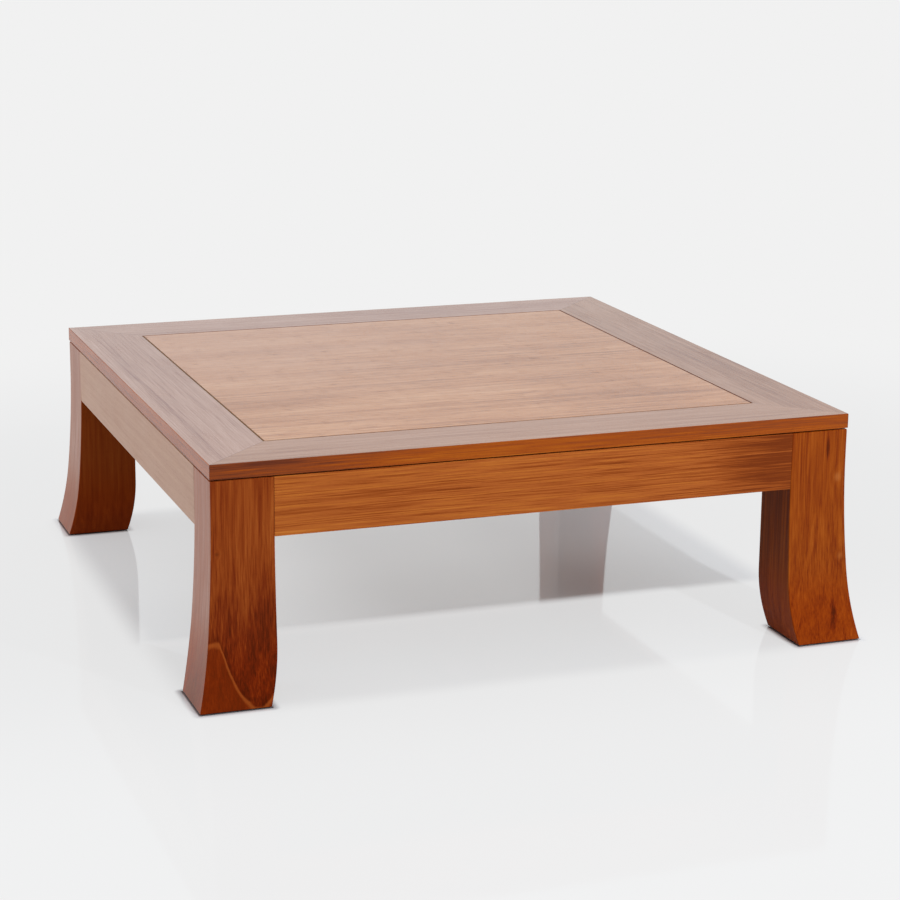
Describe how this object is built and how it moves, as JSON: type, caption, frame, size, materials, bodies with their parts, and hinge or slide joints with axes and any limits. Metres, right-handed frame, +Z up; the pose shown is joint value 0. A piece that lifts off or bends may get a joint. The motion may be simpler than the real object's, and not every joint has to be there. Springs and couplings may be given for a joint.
{
  "type": "low table",
  "caption": "Square low wooden table with a mitred border round an inset veneered panel, a shadow gap under the top, flush aprons and solid legs that sweep outwards at the foot.",
  "frame": {"origin": "on the floor under the middle of the top", "axes": "+Z up, the front towards -Y, the panel's grain along X"},
  "size_m": [1.051, 1.051, 0.357],
  "materials": {
    "border_wood": "stained teak, satin lacquer, grain along each board",
    "panel_veneer": "stained teak veneer, satin lacquer, straight fine grain from left to right",
    "panel_core": "plywood core, bare at the tongue",
    "backing_veneer": "plain backing veneer under thin lacquer",
    "frame_wood": "stained teak, satin lacquer, grain along the apron",
    "leg_wood": "stained solid teak, satin lacquer, grain along the leg",
    "batten_wood": "planed hardwood under thin lacquer",
    "spline_plywood": "bare plywood",
    "felt": "pressed dark felt",
    "screw_steel": "yellow zinc plate",
    "bolt_steel": "bright zinc plate"
  },
  "bodies": {
    "root": {"top_border_front": "border_wood", "apron_front": "frame_wood", "top_batten_front": "batten_wood", "top_border_right": "border_wood", "apron_right": "frame_wood", "top_batten_right": "batten_wood", "top_border_back": "border_wood", "apron_back": "frame_wood", "top_batten_back": "batten_wood", "top_border_left": "border_wood", "apron_left": "frame_wood", "top_batten_left": "batten_wood", "panel_face_veneer": "panel_veneer", "panel_core": "panel_core", "panel_back_veneer": "backing_veneer", "cross_rail_left": "batten_wood", "cross_rail_right": "batten_wood", "mitre_spline_front_left": "spline_plywood", "corner_block_front_left": "batten_wood", "leg_front_left": "leg_wood", "foot_glide_front_left": "felt", "mitre_spline_front_right": "spline_plywood", "corner_block_front_right": "batten_wood", "leg_front_right": "leg_wood", "foot_glide_front_right": "felt", "mitre_spline_back_right": "spline_plywood", "corner_block_back_right": "batten_wood", "leg_back_right": "leg_wood", "foot_glide_back_right": "felt", "mitre_spline_back_left": "spline_plywood", "corner_block_back_left": "batten_wood", "leg_back_left": "leg_wood", "foot_glide_back_left": "felt", "batten_screws": "screw_steel", "top_screws": "screw_steel", "rail_screws": "screw_steel", "leg_bolts": "bolt_steel", "leg_bolt_washers": "bolt_steel"}
  },
  "joints": []
}
